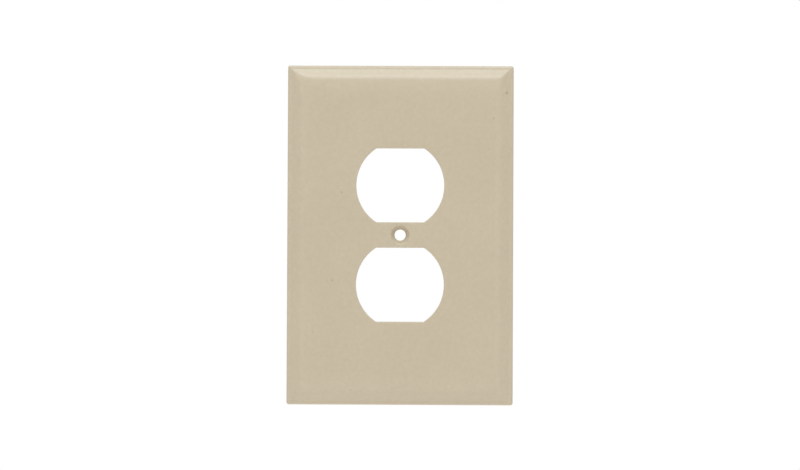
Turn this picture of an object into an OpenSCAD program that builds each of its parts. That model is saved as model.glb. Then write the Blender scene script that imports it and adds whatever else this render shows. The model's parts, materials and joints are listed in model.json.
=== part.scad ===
// Oversize one-gang wall plate for a duplex receptacle, moulded in one piece.
// It stands as it hangs on a wall: X is its width, Z its height, and its face looks toward -Y.
// The wall is the plane y = 0, and the origin lies on the axis of the screw hole.

/* [Plate] */
// Width of the plate
plate_w = 88.9; // [80:0.1:120]
// Height of the plate
plate_h = 133.35; // [124:0.05:150]
// How far the face stands out from the wall
plate_depth = 6.48; // [6:0.02:7.2]
// Thickness of the face and of the bevelled border
face_t = 2.54; // [2.2:0.02:2.8]
// Thickness of the side wall at the rim
side_t = 2.4; // [2:0.1:2.8]
// Radius of the outline's corners
corner_r = 1; // [0.5:0.1:2]

/* [Border] */
// How far the side leans inward over its height, so that the plate leaves its mould
side_lean = 0.15; // [0.05:0.01:0.3]
// Radius of the edge between the side and the land
edge_r = 1.2; // [0.5:0.05:1.25]
// Distance from the outline to the inner edge of the land, where the bevel starts
land_in = 1.62; // [1.6:0.02:2]
// Height of that inner edge above the wall
land_h = 3.3; // [3:0.1:3.8]
// Slope of the land, in degrees
land_slope = 14; // [0:1:25]
// Slope of the bevel, in degrees
bevel_slope = 36; // [30:1:40]
// Radius that blends the bevel into the face
blend_r = 5.5; // [2:0.5:6]
// Slope at which the blend ends along the top and bottom, where a crown goes on, in degrees
crown_slope = 9; // [2:0.5:10]
// Width of that crown
crown_w = 6.3; // [4:0.1:8]

/* [Receptacle openings] */
// Distance between the centres of the two openings
opening_pitch = 38.9; // [38.6:0.1:39.2]
// Diameter of the round sides of an opening
opening_d = 34.4; // [34:0.1:34.8]
// Height of an opening between its flats
opening_h = 28.9; // [28.5:0.1:29.2]

/* [Screw hole] */
// Diameter of the screw hole
hole_d = 4.4; // [4:0.1:4.6]
// Diameter of the countersink at the face
sink_d = 7.5; // [7:0.1:8]
// Full angle of the countersink, in degrees
sink_angle = 74; // [70:1:90]
// Diameter of the boss around the hole, on the back
boss_d = 8.8; // [8:0.1:9.4]
// Height of the boss above the inside of the face
boss_h = 2.4; // [1.5:0.1:2.8]

/* [Back] */
// Thickness of the stiffening ribs
rib_t = 1.2; // [1:0.1:1.6]
// Height of the ribs above the inside of the face
rib_h = 2.2; // [1.5:0.1:2.6]
// Distance from the middle of the plate to each upright rib
rib_x = 25; // [22:0.5:30]
// Distance from the middle of the plate to each level rib
rib_z = 56; // [54:0.5:57]
// Diameter of the marks that the ejector pins leave
mark_d = 5; // [3:0.5:6]
// Depth of those marks
mark_depth = 0.2; // [0.1:0.05:0.3]

/* [Hidden] */

$fn = 96;
ivory = [0.78, 0.735, 0.64];
// Cutters run this far past the faces that they cut through.
over = 1;
// Flat strips in each rounded edge, corner, blend and crown.
arc_steps = 8;

// Depth from the wall to the inside of the face.
hollow_h = plate_depth - face_t;
sink_depth = (sink_d - hole_d) / 2 / tan(sink_angle / 2);

// Points of a circle's arc from angle a0 to a1.
function arc(centre, r, a0, a1) = [
    for (i = [0:arc_steps])
        let (a = a0 + (a1 - a0) * i / arc_steps)
        centre + r * [cos(a), sin(a)]
];

// The round from the bevel to the slope s, which starts where the bevel is at [in, h].
function blend(in, h, s) =
    arc([in + blend_r * sin(bevel_slope), h - blend_r * cos(bevel_slope)],
        blend_r, 90 + bevel_slope, 90 + s);

// The gentle round from the slope s to the flat face, which it meets at face_in. The blend has
// its first point already.
function crown(face_in, s) =
    let (
        r = crown_w / sin(s),
        points = arc([face_in, plate_depth - r], r, 90 + s, 90)
    )
    [for (i = [1:arc_steps]) points[i]];

// Where the rounded edge turns into the land: its distance in and its height.
land_start_in = side_lean + edge_r * (1 - sin(land_slope));
land_start_h = land_h - (land_in - land_start_in) * tan(land_slope);

// Outside of one border, from the rim to the flat face, as [distance in, height]. The blend ends
// at the slope s: at 0 it meets the face, and otherwise a crown goes on from it.
function border(s) =
    let (
        crown_h = s > 0 ? crown_w * tan(s / 2) : 0,
        bevel_h = plate_depth - crown_h - blend_r * (cos(s) - cos(bevel_slope)),
        bevel_in = land_in + (bevel_h - land_h) / tan(bevel_slope),
        crown_in = bevel_in + blend_r * (sin(bevel_slope) - sin(s))
    )
    concat(
        [[0, 0]],
        arc([side_lean + edge_r, land_start_h - edge_r * cos(land_slope)],
            edge_r, 180, 90 + land_slope),
        [[land_in, land_h]],
        blend(bevel_in, bevel_h, s),
        s > 0 ? crown(crown_in + crown_w, s) : []
    );

// Inside of the border, from past the rim to the inside of the face. Its slope lies face_t
// under the bevel, so that the border has the same thickness as the face.
slope_in = side_t + side_lean;
slope_h = land_h + (slope_in - land_in) * tan(bevel_slope) - face_t / cos(bevel_slope);
inner_border = [
    [side_t, -over],
    [slope_in, slope_h],
    [slope_in + (hollow_h - slope_h) / tan(bevel_slope), hollow_h]
];

// Cross-section of the whole plate from one side's profile, with heights toward -Y.
function section(profile, size) = concat(
    [for (p = profile) [p[0] - size / 2, -p[1]]],
    [for (i = [len(profile) - 1:-1:0]) [size / 2 - profile[i][0], -profile[i][1]]]
);

// A solid with one profile along its upright sides and one along its level sides, which meet in
// mitres at the corners.
module mitred_frame(upright, level) {
    intersection() {
        linear_extrude(height = plate_h + 2 * over, center = true)
            polygon(section(upright, plate_w));
        rotate([0, -90, 0])
            linear_extrude(height = plate_w + 2 * over, center = true)
                polygon(section(level, plate_h));
    }
}

// Turns a sketch that is drawn in X and Z into a solid between two distances from the wall.
module from_wall(near, far) {
    translate([0, -near, 0])
        rotate([90, 0, 0])
            linear_extrude(height = far - near)
                children();
}

module rounded_outline() {
    x = plate_w / 2 - corner_r;
    z = plate_h / 2 - corner_r;
    polygon(concat(
        arc([x, z], corner_r, 0, 90),
        arc([-x, z], corner_r, 90, 180),
        arc([-x, -z], corner_r, 180, 270),
        arc([x, -z], corner_r, 270, 360)
    ));
}

module shell() {
    intersection() {
        mitred_frame(border(0), border(crown_slope));
        from_wall(-over, plate_depth + over) rounded_outline();
    }
}

// The frame of ribs that stiffens the wide border round the receptacle.
module ribs() {
    from_wall(hollow_h - rib_h, hollow_h + over)
        for (side = [-1, 1]) {
            translate([side * rib_x, 0]) square([rib_t, plate_h], center = true);
            translate([0, side * rib_z]) square([plate_w, rib_t], center = true);
        }
}

module boss() {
    from_wall(hollow_h - boss_h, hollow_h + over) circle(d = boss_d);
}

// The empty space behind the face, which the ribs and the boss stand in.
module back_space() {
    difference() {
        mitred_frame(inner_border, inner_border);
        ribs();
        boss();
    }
}

module receptacle_openings() {
    from_wall(-over, plate_depth + over)
        for (side = [-1, 1])
            translate([0, side * opening_pitch / 2])
                intersection() {
                    circle(d = opening_d);
                    square([opening_d, opening_h], center = true);
                }
}

// A round hole with a countersink, whose cone is drawn on past the face.
module screw_hole() {
    from_wall(-over, plate_depth + over) circle(d = hole_d);
    translate([0, -plate_depth - over, 0])
        rotate([-90, 0, 0])
            cylinder(d1 = sink_d + 2 * over * tan(sink_angle / 2), d2 = hole_d, h = sink_depth + over);
}

// Shallow round marks, in two upright rows outside the ribs.
module ejector_marks() {
    mark_x = (rib_x + plate_w / 2 - inner_border[2][0]) / 2;
    mark_z = [-rib_z + mark_d, -opening_pitch / 2, opening_pitch / 2, rib_z - mark_d];
    from_wall(hollow_h - over, hollow_h + mark_depth)
        for (side = [-1, 1], z = mark_z)
            translate([side * mark_x, z]) circle(d = mark_d);
}

module wall_plate() {
    color(ivory)
        difference() {
            shell();
            back_space();
            receptacle_openings();
            screw_hole();
            ejector_marks();
        }
}

wall_plate();
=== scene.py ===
import json
import math

import bmesh
import bpy
from mathutils import Matrix, Vector
from mathutils.geometry import delaunay_2d_cdt


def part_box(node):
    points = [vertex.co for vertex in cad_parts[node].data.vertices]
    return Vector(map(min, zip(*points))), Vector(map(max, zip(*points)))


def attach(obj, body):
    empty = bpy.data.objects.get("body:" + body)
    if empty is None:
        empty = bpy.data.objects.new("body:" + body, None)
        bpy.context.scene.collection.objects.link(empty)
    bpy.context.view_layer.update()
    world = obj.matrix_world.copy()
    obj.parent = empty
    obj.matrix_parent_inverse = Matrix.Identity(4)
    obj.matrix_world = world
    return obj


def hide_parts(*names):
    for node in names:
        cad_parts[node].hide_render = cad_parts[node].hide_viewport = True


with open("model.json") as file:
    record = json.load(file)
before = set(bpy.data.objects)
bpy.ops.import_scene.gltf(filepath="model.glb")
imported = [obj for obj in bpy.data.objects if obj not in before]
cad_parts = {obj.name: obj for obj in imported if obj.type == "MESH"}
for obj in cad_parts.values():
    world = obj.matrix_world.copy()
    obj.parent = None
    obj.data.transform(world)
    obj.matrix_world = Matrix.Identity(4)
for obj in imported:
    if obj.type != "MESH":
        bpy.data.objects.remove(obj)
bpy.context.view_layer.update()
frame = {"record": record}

# The plate stands as it hangs on a wall: X is its width, Z its height, the wall is y = 0 and the
# face looks toward -Y. The plate's lengths are in millimetres, the studio's are in metres, and a
# "height" is a distance from the wall.

mounts = {m["name"]: m for m in frame["record"]["mounts"]}
plate_lo, plate_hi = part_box("wall_plate")
MM = 0.001

# ---------------------------------------------------------------- sizes

WIDTH = (plate_hi[0] - plate_lo[0]) / MM
HEIGHT = (plate_hi[2] - plate_lo[2]) / MM
DEPTH = (plate_hi[1] - plate_lo[1]) / MM
HOLE_R = mounts["screw_hole"]["dims"]["r_mm"]
OPENING_Z = mounts["upper_opening"]["pos_m"][2] / MM

# The border: a leaning side, a rounded edge, a narrow land, a bevel, and a blend into the face.
# LAND_IN and LAND_H say where the land ends and the bevel starts. Along the top and bottom the
# blend stops short, and a wide, shallow crown goes on to the face.
SIDE_LEAN = 0.15
EDGE_R = 1.2
LAND_IN = 1.62
LAND_H = 3.3
LAND_SLOPE = math.radians(14)
LAND_FILLET = 0.15
BEVEL_SLOPE = math.radians(36)
BLEND_R = 5.5
CROWN_SLOPE = math.radians(9)
CROWN_W = 6.3
CORNER_R = 1.0
MITRE_R = 0.35
# How fast the corner of each height line rounds off as it climbs the bevel.
CORNER_SOFTNESS = {"top_right": 0.1, "top_left": 0.36, "bottom_left": 0.2, "bottom_right": 0.1}
SOFTNESS_POWER = 1.85

FACE_T = 2.54
RIM_T = 2.4
HOLLOW_H = DEPTH - FACE_T

OPENING_R = 17.2
OPENING_HALF_H = 14.45
OPENING_FILLET = 0.4
LIP_R = 0.35
SINK_R = 3.75
SINK_HALF_ANGLE = math.radians(37)
SINK_LIP_R = 0.35

RIB_X = 25.0
RIB_Z = 56.0
RIB_T = 1.2
RIB_H = 2.2
DRAFT = 0.08
BOSS_R = 4.4
BOSS_H = 2.4
MARK_R = 2.5
MARK_DEPTH = 0.2

# How finely the rounds and the straight sides are divided.
CORNER_STEPS = 14
SIDE_STEPS = 40
EDGE_STEPS = 8
BLEND_STEPS = 26
LIP_STEPS = 6
ARC_STEPS = 44
FLAT_STEPS = 24
FILLET_STEPS = 4
ROUND_STEPS = 72
MARK_STEPS = 40

# Points closer than this are one point, in the finished mesh and in a flat plan of it.
WELD = 1e-4
PLAN_TOLERANCE = 1e-6
# An edge is shaded sharp if its two faces meet at more than this angle.
SHARP_ANGLE = math.radians(28)

# The level surfaces get points on a grid. The gaps keep it clear of edges, so no triangle is thin.
GRID = 4.0
EDGE_GAP = 1.5
SINK_GAP = 2.0
RIB_GAP = 2.0
MARK_GAP = 1.2
BOSS_GAP = 1.0
BACK_OPENING_GAP = 1.0

# How far below the level borders' bevel end the blend's height lines start.
BLEND_LEAD = 0.2


# ---------------------------------------------------------------- outlines

def border_top(slope):
    """Height where the bevel ends and the blend starts, if the blend ends at this slope."""
    crown_h = CROWN_W * math.tan(slope / 2)
    return DEPTH - crown_h - BLEND_R * (math.cos(slope) - math.cos(BEVEL_SLOPE))


def bevel_in(height):
    return LAND_IN + (height - LAND_H) / math.tan(BEVEL_SLOPE)


def inset(height, slope):
    """How far from the outline the border has this height, if its blend ends at this slope."""
    top = border_top(slope)
    if height <= top:
        return bevel_in(height)
    centre_in = bevel_in(top) + BLEND_R * math.sin(BEVEL_SLOPE)
    centre_h = top - BLEND_R * math.cos(BEVEL_SLOPE)
    if slope == 0 or height <= centre_h + BLEND_R * math.cos(slope):
        rise = min(height - centre_h, BLEND_R)
        return centre_in - math.sqrt(BLEND_R ** 2 - rise ** 2)
    crown_r = CROWN_W / math.sin(slope)
    rise = min(height - (DEPTH - crown_r), crown_r)
    crown_centre = centre_in - BLEND_R * math.sin(slope) + CROWN_W
    return crown_centre - math.sqrt(crown_r ** 2 - rise ** 2)


def corner_radii(depth_in):
    """Radius of a height line's corners, in the order that rounded_box walks them."""
    names = ("top_right", "top_left", "bottom_left", "bottom_right")
    if depth_in <= LAND_IN:
        return [max(CORNER_R - depth_in, MITRE_R)] * len(names)
    climb = (depth_in - LAND_IN) ** SOFTNESS_POWER
    return [MITRE_R + CORNER_SOFTNESS[name] * climb for name in names]


def rounded_box(half_x, half_z, radii):
    """A closed outline, counter-clockwise from the right-hand side's top, as (x, z) points."""
    signs = ((1, 1), (-1, 1), (-1, -1), (1, -1))
    corners = []
    for k, (sx, sz) in enumerate(signs):
        r = radii[k]
        cx, cz = sx * (half_x - r), sz * (half_z - r)
        start = k * math.pi / 2
        turns = [start + math.pi / 2 * i / CORNER_STEPS for i in range(CORNER_STEPS + 1)]
        corners.append([(cx + r * math.cos(a), cz + r * math.sin(a)) for a in turns])
    points = []
    for k, corner in enumerate(corners):
        points += corner
        (x0, z0), (x1, z1) = corner[-1], corners[(k + 1) % 4][0]
        for i in range(1, SIDE_STEPS):
            t = i / SIDE_STEPS
            points.append((x0 + (x1 - x0) * t, z0 + (z1 - z0) * t))
    return points


def opening_outline(grow, centre_z):
    """A circle cut off by two flats, with small fillets, moved outward by grow. (x, z) points."""
    r, flat, f = OPENING_R + grow, OPENING_HALF_H + grow, OPENING_FILLET
    fz = flat - f
    fx = math.sqrt((r - f) ** 2 - fz ** 2)
    swing = math.atan2(fz, fx)
    turns = [swing * i / ARC_STEPS for i in range(ARC_STEPS)]
    quarter = [(r * math.cos(a), r * math.sin(a)) for a in turns]
    for i in range(FILLET_STEPS + 1):
        a = swing + (math.pi / 2 - swing) * i / FILLET_STEPS
        quarter.append((fx + f * math.cos(a), fz + f * math.sin(a)))
    quarter += [(fx * (1 - i / FLAT_STEPS), flat) for i in range(1, FLAT_STEPS)]
    top_middle = [(0.0, flat)]
    upper = quarter + top_middle + [(-x, z) for x, z in reversed(quarter)]
    lower = [(-x, -z) for x, z in upper[1:-1]]
    return [(x, centre_z + z) for x, z in upper + lower]


def in_opening(x, z, grow):
    """Whether a point lies in either opening, or within about this distance of it."""
    dz = abs(abs(z) - OPENING_Z)
    return math.hypot(x, dz) < OPENING_R + grow and dz < OPENING_HALF_H + grow


def circle(r, centre=(0.0, 0.0), steps=ROUND_STEPS):
    turns = [2 * math.pi * i / steps for i in range(steps)]
    return [(centre[0] + r * math.cos(a), centre[1] + r * math.sin(a)) for a in turns]


# ---------------------------------------------------------------- mesh helpers

class Shell:
    """Collects the plate's faces. Points are (x, z, height), and loops run counter-clockwise."""

    def __init__(self):
        self.bm = bmesh.new()

    def ring(self, outline, height):
        return [self.bm.verts.new((x * MM, -height * MM, z * MM)) for x, z in outline]

    def bridge(self, outer, inner, slot=0):
        """Quads between two loops of equally many points."""
        n = len(outer)
        for i in range(n):
            j = (i + 1) % n
            face = self.bm.faces.new((outer[i], outer[j], inner[j], inner[i]))
            face.material_index = slot

    def loft(self, rings, slot=0):
        """Bridges each (outline, height) to the next."""
        made = [self.ring(outline, height) for outline, height in rings]
        for a, b in zip(made, made[1:]):
            self.bridge(a, b, slot)

    def fill(self, outline, holes, lines, free, height_of, slot=0):
        """Triangles over a plan with holes, extra lines and free points, lifted to height_of."""
        points, regions, edges = [], [], []
        for loop in [outline] + holes:
            regions.append(list(range(len(points), len(points) + len(loop))))
            points += loop
        for a, b in lines:
            edges.append((len(points), len(points) + 1))
            points += [a, b]
        points += free
        flat = [Vector(p) for p in points]
        # Output type 0 covers everything with triangles and says which regions each lies in.
        plan, _, triangles, _, _, inside_of = delaunay_2d_cdt(
            flat, edges, regions, 0, PLAN_TOLERANCE)
        verts = [self.bm.verts.new((p.x * MM, -height_of(p.x, p.y) * MM, p.y * MM)) for p in plan]
        for tri, owners in zip(triangles, inside_of):
            # Region 0 is the outline; a triangle that also lies in another region is in a hole.
            if owners == [0]:
                face = self.bm.faces.new([verts[i] for i in tri])
                face.material_index = slot

    def finish(self, name, materials):
        bmesh.ops.remove_doubles(self.bm, verts=self.bm.verts, dist=WELD * MM)
        loose = [v for v in self.bm.verts if not v.link_faces]
        bmesh.ops.delete(self.bm, geom=loose, context="VERTS")
        bmesh.ops.recalc_face_normals(self.bm, faces=self.bm.faces)
        open_edges = [e for e in self.bm.edges if len(e.link_faces) != 2]
        print("open edges", len(open_edges), "faces", len(self.bm.faces))
        mesh = bpy.data.meshes.new(name)
        self.bm.to_mesh(mesh)
        self.bm.free()
        mesh.shade_smooth()
        mesh.set_sharp_from_angle(angle=SHARP_ANGLE)
        for material in materials:
            mesh.materials.append(material)
        obj = bpy.data.objects.new(name, mesh)
        bpy.context.scene.collection.objects.link(obj)
        return obj


# ---------------------------------------------------------------- the plate's shape

def border_line(in_x, in_z, height):
    """One height line of the border, as (outline, height)."""
    radii = corner_radii(min(in_x, in_z))
    return rounded_box(WIDTH / 2 - in_x, HEIGHT / 2 - in_z, radii), height


def edge_lines():
    """The rounded edge, from the leaning side to the land."""
    land_start = SIDE_LEAN + EDGE_R * (1 - math.sin(LAND_SLOPE))
    land_start_h = LAND_H - (LAND_IN - land_start) * math.tan(LAND_SLOPE)
    centre_h = land_start_h - EDGE_R * math.cos(LAND_SLOPE)
    lines = []
    for i in range(EDGE_STEPS + 1):
        a = math.pi - (math.pi / 2 - LAND_SLOPE) * i / EDGE_STEPS
        d = SIDE_LEAN + EDGE_R + EDGE_R * math.cos(a)
        lines.append(border_line(d, d, centre_h + EDGE_R * math.sin(a)))
    return lines


def fillet_lines():
    """The small fillet in which the land meets the bevel."""
    reach = LAND_FILLET * math.tan((BEVEL_SLOPE - LAND_SLOPE) / 2)
    centre_in = LAND_IN - reach * math.cos(LAND_SLOPE) - LAND_FILLET * math.sin(LAND_SLOPE)
    centre_h = LAND_H - reach * math.sin(LAND_SLOPE) + LAND_FILLET * math.cos(LAND_SLOPE)
    lines = []
    for i in range(FILLET_STEPS + 1):
        a = LAND_SLOPE + (BEVEL_SLOPE - LAND_SLOPE) * i / FILLET_STEPS
        d = centre_in + LAND_FILLET * math.sin(a)
        lines.append(border_line(d, d, centre_h - LAND_FILLET * math.cos(a)))
    return lines


def blend_lines():
    """The blend into the face. The sides and the level borders differ, so height sets each line."""
    start = border_top(CROWN_SLOPE) - BLEND_LEAD
    lines = []
    for i in range(BLEND_STEPS + 1):
        t = i / BLEND_STEPS
        height = DEPTH - (DEPTH - start) * (1 - t) ** 2
        lines.append(border_line(inset(height, 0), inset(height, CROWN_SLOPE), height))
    return lines


def border_rings():
    """Height lines of the border, from the rim to the flat face."""
    return [border_line(0, 0, 0)] + edge_lines() + fillet_lines() + blend_lines()


def lip_profile(r, turn):
    """Steps round a convex lip of radius r that turns away from the face: (how far in, drop)."""
    reach = r * math.tan(turn / 2)
    steps = []
    for i in range(LIP_STEPS + 1):
        a = turn * i / LIP_STEPS
        steps.append((r * math.sin(a) - reach, r * (1 - math.cos(a))))
    return steps


def sink_rings():
    """The screw hole, from its rounded lip down the countersink and through the boss."""
    turn = math.pi / 2 - SINK_HALF_ANGLE
    rings = []
    for step_in, drop in lip_profile(SINK_LIP_R, turn):
        rings.append((circle(SINK_R - step_in), DEPTH - drop))
    sink_depth = (SINK_R - HOLE_R) / math.tan(SINK_HALF_ANGLE)
    rings.append((circle(HOLE_R), DEPTH - sink_depth))
    rings.append((circle(HOLE_R), HOLLOW_H - BOSS_H))
    return rings


def opening_rings(centre_z):
    """One opening, from its rounded lip straight through to the hollow."""
    rings = []
    for step_in, drop in lip_profile(LIP_R, math.pi / 2):
        rings.append((opening_outline(-step_in, centre_z), DEPTH - drop))
    rings.append((opening_outline(0, centre_z), HOLLOW_H))
    return rings


def grid_points(half_x, half_z, clear):
    """Free points on a grid, where clear says that nothing is near."""
    nx, nz = int(half_x // GRID), int(half_z // GRID)
    return [(i * GRID, k * GRID) for i in range(-nx, nx + 1) for k in range(-nz, nz + 1)
            if clear(i * GRID, k * GRID)]


def add_front(shell):
    """The border, the openings, the screw hole, and the flat face between them."""
    rings = border_rings()
    shell.loft(rings)
    sink = sink_rings()
    shell.loft(sink)
    openings = [opening_rings(s * OPENING_Z) for s in (1, -1)]
    for opening in openings:
        shell.loft(opening)
    edge = rings[-1][0]
    half_x, half_z = max(x for x, z in edge), max(z for x, z in edge)

    def clear(x, z):
        inside = abs(x) < half_x - EDGE_GAP and abs(z) < half_z - EDGE_GAP
        near_sink = math.hypot(x, z) <= SINK_R + SINK_GAP
        return inside and not (near_sink or in_opening(x, z, EDGE_GAP))

    holes = [sink[0][0]] + [opening[0][0] for opening in openings]
    shell.fill(edge, holes, [], grid_points(half_x, half_z, clear), lambda x, z: DEPTH)


# ---------------------------------------------------------------- the plate's back

# "_IN" is a distance from the outline. The hollow's side rises steeply to SLOPE_IN, then follows
# the bevel to the hollow's floor at FLOOR_IN. The ribs' tops meet that slope at RIB_TOP_IN.
SLOPE_IN = RIM_T + SIDE_LEAN
SLOPE_H = LAND_H + (SLOPE_IN - LAND_IN) * math.tan(BEVEL_SLOPE) - FACE_T / math.cos(BEVEL_SLOPE)
FLOOR_IN = SLOPE_IN + (HOLLOW_H - SLOPE_H) / math.tan(BEVEL_SLOPE)
RIB_TOP_H = HOLLOW_H - RIB_H
RIB_TOP_IN = SLOPE_IN + (RIB_TOP_H - SLOPE_H) / math.tan(BEVEL_SLOPE)
# The ejector marks stand midway between the upright ribs and the hollow's side.
MARK_X = (RIB_X + WIDTH / 2 - FLOOR_IN) / 2
MARK_Z = (RIB_Z - 2 * MARK_R, OPENING_Z)
MARKS = [(sx * MARK_X, sz * z) for sx in (-1, 1) for sz in (-1, 1) for z in MARK_Z]


def ramp(d, d0, h0, d1, h1):
    """Height at the distance d on a straight ramp, level past its ends."""
    t = min(max((d - d0) / (d1 - d0), 0.0), 1.0)
    return h0 + (h1 - h0) * t


def wall_side(d):
    """Height of the hollow at the distance d from the outline."""
    if d < SLOPE_IN:
        return ramp(d, RIM_T, 0.0, SLOPE_IN, SLOPE_H)
    return ramp(d, SLOPE_IN, SLOPE_H, FLOOR_IN, HOLLOW_H)


def back_height(x, z):
    """Height of the back surface above the wall."""
    h = min(wall_side(WIDTH / 2 - abs(x)), wall_side(HEIGHT / 2 - abs(z)))
    for off in (abs(abs(x) - RIB_X), abs(abs(z) - RIB_Z)):
        h = min(h, ramp(off, RIB_T / 2, RIB_TOP_H, RIB_T / 2 + DRAFT, HOLLOW_H))
    h = min(h, ramp(math.hypot(x, z), BOSS_R, HOLLOW_H - BOSS_H, BOSS_R + DRAFT, HOLLOW_H))
    for mx, mz in MARKS:
        off = math.hypot(x - mx, z - mz)
        if off < MARK_R:
            h = ramp(off, MARK_R - DRAFT, HOLLOW_H + MARK_DEPTH, MARK_R, HOLLOW_H)
    return h


def closed(loop):
    """The edges of a closed loop of points."""
    return list(zip(loop, loop[1:] + loop[:1]))


def box_loop(d):
    """The corners of a box that lies the distance d inside the outline."""
    x, z = WIDTH / 2 - d, HEIGHT / 2 - d
    return [(x, z), (-x, z), (-x, -z), (x, -z)]


def rib_lines():
    """Edges of the ribs' tops and feet, with the short joints between them at the rims' slopes."""
    lines = []
    top_x, top_z = WIDTH / 2 - RIB_TOP_IN, HEIGHT / 2 - RIB_TOP_IN
    foot_x, foot_z = WIDTH / 2 - FLOOR_IN, HEIGHT / 2 - FLOOR_IN
    for side in (-1, 1):
        for edge in (-1, 1):
            top = RIB_T / 2 * edge
            foot = (RIB_T / 2 + DRAFT) * edge
            for centre, half_top, half_foot, flip in (
                (side * RIB_X, top_z, foot_z, False),
                (side * RIB_Z, top_x, foot_x, True),
            ):
                ends = [
                    ((centre + top, -half_top), (centre + top, half_top)),
                    ((centre + foot, -half_foot), (centre + foot, half_foot)),
                    ((centre + top, half_top), (centre + foot, half_foot)),
                    ((centre + top, -half_top), (centre + foot, -half_foot)),
                ]
                for a, b in ends:
                    lines.append((a[::-1], b[::-1]) if flip else (a, b))
    return lines


def add_back(shell):
    """The rim, the hollow, the ribs, the boss and the ejector marks, as one height field."""
    half_x, half_z = WIDTH / 2, HEIGHT / 2
    lines = rib_lines() + list(zip(box_loop(RIM_T), box_loop(FLOOR_IN)))
    for d in (RIM_T, SLOPE_IN, RIB_TOP_IN, FLOOR_IN):
        lines += closed(box_loop(d))
    for r in (BOSS_R, BOSS_R + DRAFT):
        lines += closed(circle(r))
    for mark in MARKS:
        for r in (MARK_R, MARK_R - DRAFT):
            lines += closed(circle(r, mark, MARK_STEPS))

    def clear(x, z):
        edge = FLOOR_IN + EDGE_GAP
        inside = abs(x) < half_x - edge and abs(z) < half_z - edge
        near_rib = min(abs(abs(x) - RIB_X), abs(abs(z) - RIB_Z)) < RIB_GAP
        near_mark = any(math.hypot(x - mx, z - mz) < MARK_R + MARK_GAP for mx, mz in MARKS)
        near_boss = math.hypot(x, z) < BOSS_R + BOSS_GAP
        near_opening = in_opening(x, z, BACK_OPENING_GAP)
        return inside and not (near_rib or near_mark or near_boss or near_opening)

    rim = rounded_box(half_x, half_z, corner_radii(0))
    holes = [circle(HOLE_R)] + [opening_outline(0, s * OPENING_Z) for s in (1, -1)]
    shell.fill(rim, holes, lines, grid_points(half_x, half_z, clear), back_height, slot=1)


# ---------------------------------------------------------------- materials

IVORY = (0.510, 0.426, 0.305, 1)
PLASTIC_IOR = 1.45

# Variation over the surface: the size of its blobs in mm, and how far it swings either way.
CLOUD_SIZE, CLOUD_SWING = 22, 0.015
GRAIN_SIZE, GRAIN_SWING = 1.7, 0.04
GLOSS_SIZE, GLOSS_SWING = 1.6, 0.025
# The relief's height in mm, at full strength.
RELIEF_DEPTH = 0.02
# Nearly all of a noise's values lie between these.
NOISE_LOW, NOISE_HIGH = 0.3, 0.7

# Specks of darker material in the face: (x, z) in mm, radius in mm, and how dark they are.
SPECKS = (
    ((41.6, 55.9), 0.8, 0.26),
    ((36.5, 45.7), 0.6, 0.16),
    ((-22.9, 16.6), 0.7, 0.18),
    ((-26.5, -17.9), 0.7, 0.16),
    ((-33.9, -37.9), 0.6, 0.13),
    ((-19.0, -60.7), 0.7, 0.12),
)
# The part of a speck's radius that is fully dark.
SPECK_CORE = 0.3


class Nodes:
    """A short way to add nodes to a material and to join them."""

    def __init__(self, name):
        self.material = bpy.data.materials.new(name)
        self.material.use_nodes = True
        self.tree = self.material.node_tree
        self.shader = self.tree.nodes["Principled BSDF"]

    def add(self, kind, inputs=None, **settings):
        """A node whose inputs are set to values, or linked where the value is another's socket."""
        node = self.tree.nodes.new("ShaderNode" + kind)
        for key, value in settings.items():
            setattr(node, key, value)
        for key, value in (inputs or {}).items():
            if isinstance(value, bpy.types.NodeSocket):
                self.tree.links.new(value, node.inputs[key])
            else:
                node.inputs[key].default_value = value
        return node

    def join(self, value, key):
        self.tree.links.new(value, self.shader.inputs[key])

    def noise(self, place, size, detail=3.0, roughness=0.5):
        """Noise with blobs of about this size in mm."""
        inputs = {"Vector": place, "Scale": 1 / (size * MM)}
        inputs.update({"Detail": detail, "Roughness": roughness})
        return self.add("TexNoise", inputs).outputs["Fac"]

    def around(self, middle, swing, noise):
        """The noise, stretched to swing this far either side of a middle value."""
        inputs = {"Value": noise, "From Min": NOISE_LOW, "From Max": NOISE_HIGH}
        inputs.update({"To Min": middle - swing, "To Max": middle + swing})
        return self.add("MapRange", inputs).outputs[0]

    def times(self, a, b):
        return self.add("Math", {0: a, 1: b}, operation="MULTIPLY").outputs[0]


def add_specks(n, place, tone, specks):
    """The tone, darkened at each speck. Only x and z count, so a speck shows on any slope."""
    plan = n.add("VectorMath", {0: place, 1: (1, 0, 1)}, operation="MULTIPLY").outputs[0]
    for (x, z), radius, dark in specks:
        away = n.add("VectorMath", {0: plan, 1: (x * MM, 0, z * MM)}, operation="DISTANCE")
        inputs = {"Value": away.outputs["Value"], "To Min": 1 - dark, "To Max": 1.0}
        inputs.update({"From Min": SPECK_CORE * radius * MM, "From Max": radius * MM})
        fade = n.add("MapRange", inputs, interpolation_type="SMOOTHSTEP")
        tone = n.times(tone, fade.outputs[0])
    return tone


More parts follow.
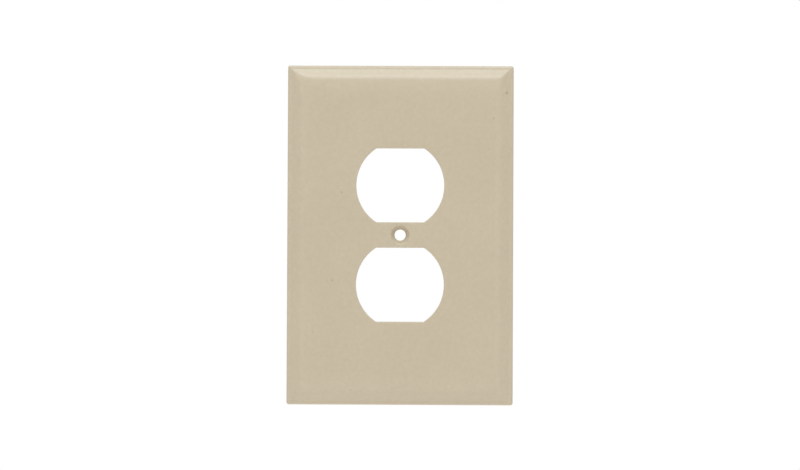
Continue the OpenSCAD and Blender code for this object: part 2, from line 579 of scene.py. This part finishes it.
def plastic(name, colour, roughness, relief_size, relief, specks=()):
    """Moulded thermoset: faint clouds, fine grain in colour, gloss and relief, a few specks."""
    n = Nodes(name)
    place = n.add("TexCoord").outputs["Object"]
    cloud = n.around(1.0, CLOUD_SWING, n.noise(place, CLOUD_SIZE))
    grain = n.around(1.0, GRAIN_SWING, n.noise(place, GRAIN_SIZE, detail=5.0, roughness=0.7))
    tone = add_specks(n, place, n.times(cloud, grain), specks)
    tint = n.add("VectorMath", {0: colour[:3], "Scale": tone}, operation="SCALE")
    n.join(tint.outputs[0], "Base Color")
    n.join(n.around(roughness, GLOSS_SWING, n.noise(place, GLOSS_SIZE)), "Roughness")
    height = n.noise(place, relief_size, roughness=0.55)
    bump = n.add("Bump", {"Height": height, "Strength": relief, "Distance": RELIEF_DEPTH * MM})
    n.join(bump.outputs[0], "Normal")
    n.shader.inputs["IOR"].default_value = PLASTIC_IOR
    return n.material


# ---------------------------------------------------------------- studio

# Angles are in degrees. FRAME_W and SENSOR are widths in mm: what the picture covers in the
# wall's plane, and the camera's sensor.
FRAME_W = 314.7
SENSOR = 36.0
CAMERA_DISTANCE = 0.9
CAMERA_AZIMUTH, CAMERA_ELEVATION, CAMERA_ROLL = 0.6, -1.0, 0.25
# The point in the wall's plane that the camera aims at.
AIM_X, AIM_Z = -0.00008, 0.0001

# The tent is dark straight in front of the face: fully within the core, fading out to the edge.
TENT_LIGHT = 0.765
DARK_SPOT_CORE, DARK_SPOT_EDGE = 4, 14

FLOOR_HALF = 3.4
FLOOR_Z = -0.4
PAPER = (0.9, 0.9, 0.9, 1)
PAPER_ROUGHNESS = 0.9
PAPER_GLOW = (1.0, 0.9, 0.86, 1)
PAPER_GLOW_STRENGTH = 0.2

# Name, elevation (over 90 is behind the plate), width and depth, colour, and power in watts.
SOFTBOXES = (
    ("overhead_softbox", 60, (2.0, 1.2), (0.77, 0.90, 1.0), 23.0),
    ("key_softbox", 72, (1.2, 0.6), (0.99, 1.0, 0.92), 4.2),
    ("rear_softbox", 105, (1.2, 0.6), (1.0, 1.0, 1.0), 2.0),
)
SOFTBOX_DISTANCE = 2.0


def direction(azimuth, elevation):
    """Unit vector from the plate. Azimuth 0, elevation 0 is straight in front of its face."""
    a, e = math.radians(azimuth), math.radians(elevation)
    return Vector((math.sin(a) * math.cos(e), -math.cos(a) * math.cos(e), math.sin(e)))


def make_camera():
    """Straight in front, a touch right and low, and rolled a little, as the object was taken."""
    target = Vector((AIM_X, plate_hi[1], AIM_Z))
    back = direction(CAMERA_AZIMUTH, CAMERA_ELEVATION)
    data = bpy.data.cameras.new("camera")
    data.sensor_width = SENSOR
    data.lens = SENSOR * CAMERA_DISTANCE / (FRAME_W * MM)
    camera = bpy.data.objects.new("camera", data)
    camera.location = target + back * CAMERA_DISTANCE
    look = (-back).to_track_quat("-Z", "Y").to_matrix()
    roll = Matrix.Rotation(math.radians(CAMERA_ROLL), 3, "Z")
    camera.rotation_euler = (look @ roll).to_euler()
    bpy.context.scene.collection.objects.link(camera)
    bpy.context.scene.camera = camera


def add_softbox(name, elevation, size, colour, power):
    """A wide area light that faces the plate."""
    data = bpy.data.lights.new(name, "AREA")
    data.shape = "RECTANGLE"
    data.size, data.size_y = size
    data.color = colour
    data.energy = power
    lamp = bpy.data.objects.new(name, data)
    lamp.location = direction(0, elevation) * SOFTBOX_DISTANCE
    lamp.rotation_euler = (-lamp.location).to_track_quat("-Z", "Y").to_euler()
    bpy.context.scene.collection.objects.link(lamp)


def make_world():
    """A white tent. Its dark spot in front shows in reflections, but not to the camera."""
    world = bpy.data.worlds.new("tent")
    world.use_nodes = True
    tree = world.node_tree
    background = tree.nodes["Background"]
    background.inputs["Color"].default_value = (1, 1, 1, 1)
    place = tree.nodes.new("ShaderNodeTexCoord")
    facing = tree.nodes.new("ShaderNodeVectorMath")
    facing.operation = "DOT_PRODUCT"
    facing.inputs[1].default_value = direction(0, 0)
    tree.links.new(place.outputs["Generated"], facing.inputs[0])
    dim = tree.nodes.new("ShaderNodeMapRange")
    dim.interpolation_type = "SMOOTHSTEP"
    dim.inputs["From Min"].default_value = math.cos(math.radians(DARK_SPOT_EDGE))
    dim.inputs["From Max"].default_value = math.cos(math.radians(DARK_SPOT_CORE))
    dim.inputs["To Min"].default_value = TENT_LIGHT
    dim.inputs["To Max"].default_value = 0.0
    tree.links.new(facing.outputs["Value"], dim.inputs["Value"])
    # A camera ray counts as 1, so the background is pure white whatever the tent's light is.
    ray = tree.nodes.new("ShaderNodeLightPath")
    seen = tree.nodes.new("ShaderNodeMath")
    seen.operation = "MAXIMUM"
    tree.links.new(dim.outputs[0], seen.inputs[0])
    tree.links.new(ray.outputs["Is Camera Ray"], seen.inputs[1])
    tree.links.new(seen.outputs[0], background.inputs["Strength"])
    bpy.context.scene.world = world


def make_floor():
    """A large sheet of pale paper below the plate, which glows a little to stay near white."""
    n = Nodes("floor_paper")
    n.shader.inputs["Base Color"].default_value = PAPER
    n.shader.inputs["Roughness"].default_value = PAPER_ROUGHNESS
    n.shader.inputs["Emission Color"].default_value = PAPER_GLOW
    n.shader.inputs["Emission Strength"].default_value = PAPER_GLOW_STRENGTH
    bm = bmesh.new()
    bmesh.ops.create_grid(bm, x_segments=1, y_segments=1, size=FLOOR_HALF)
    mesh = bpy.data.meshes.new("floor")
    bm.to_mesh(mesh)
    bm.free()
    mesh.materials.append(n.material)
    floor = bpy.data.objects.new("floor", mesh)
    floor.location = (0, 0, FLOOR_Z)
    bpy.context.scene.collection.objects.link(floor)


# ---------------------------------------------------------------- the scene

shell = Shell()
add_front(shell)
add_back(shell)
# The front is low gloss; the back is duller and has a finer, stronger relief.
face_plastic = plastic("ivory_face", IVORY, 0.30, relief_size=0.7, relief=0.3, specks=SPECKS)
back_plastic = plastic("ivory_back", IVORY, 0.5, relief_size=0.35, relief=0.5)
plate = shell.finish("moulded_plate", [face_plastic, back_plastic])
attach(plate, "root")
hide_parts("wall_plate")

make_camera()
make_world()
make_floor()
for name, elevation, size, colour, power in SOFTBOXES:
    add_softbox(name, elevation, size, colour, power)
bpy.context.scene.view_settings.view_transform = "Standard"
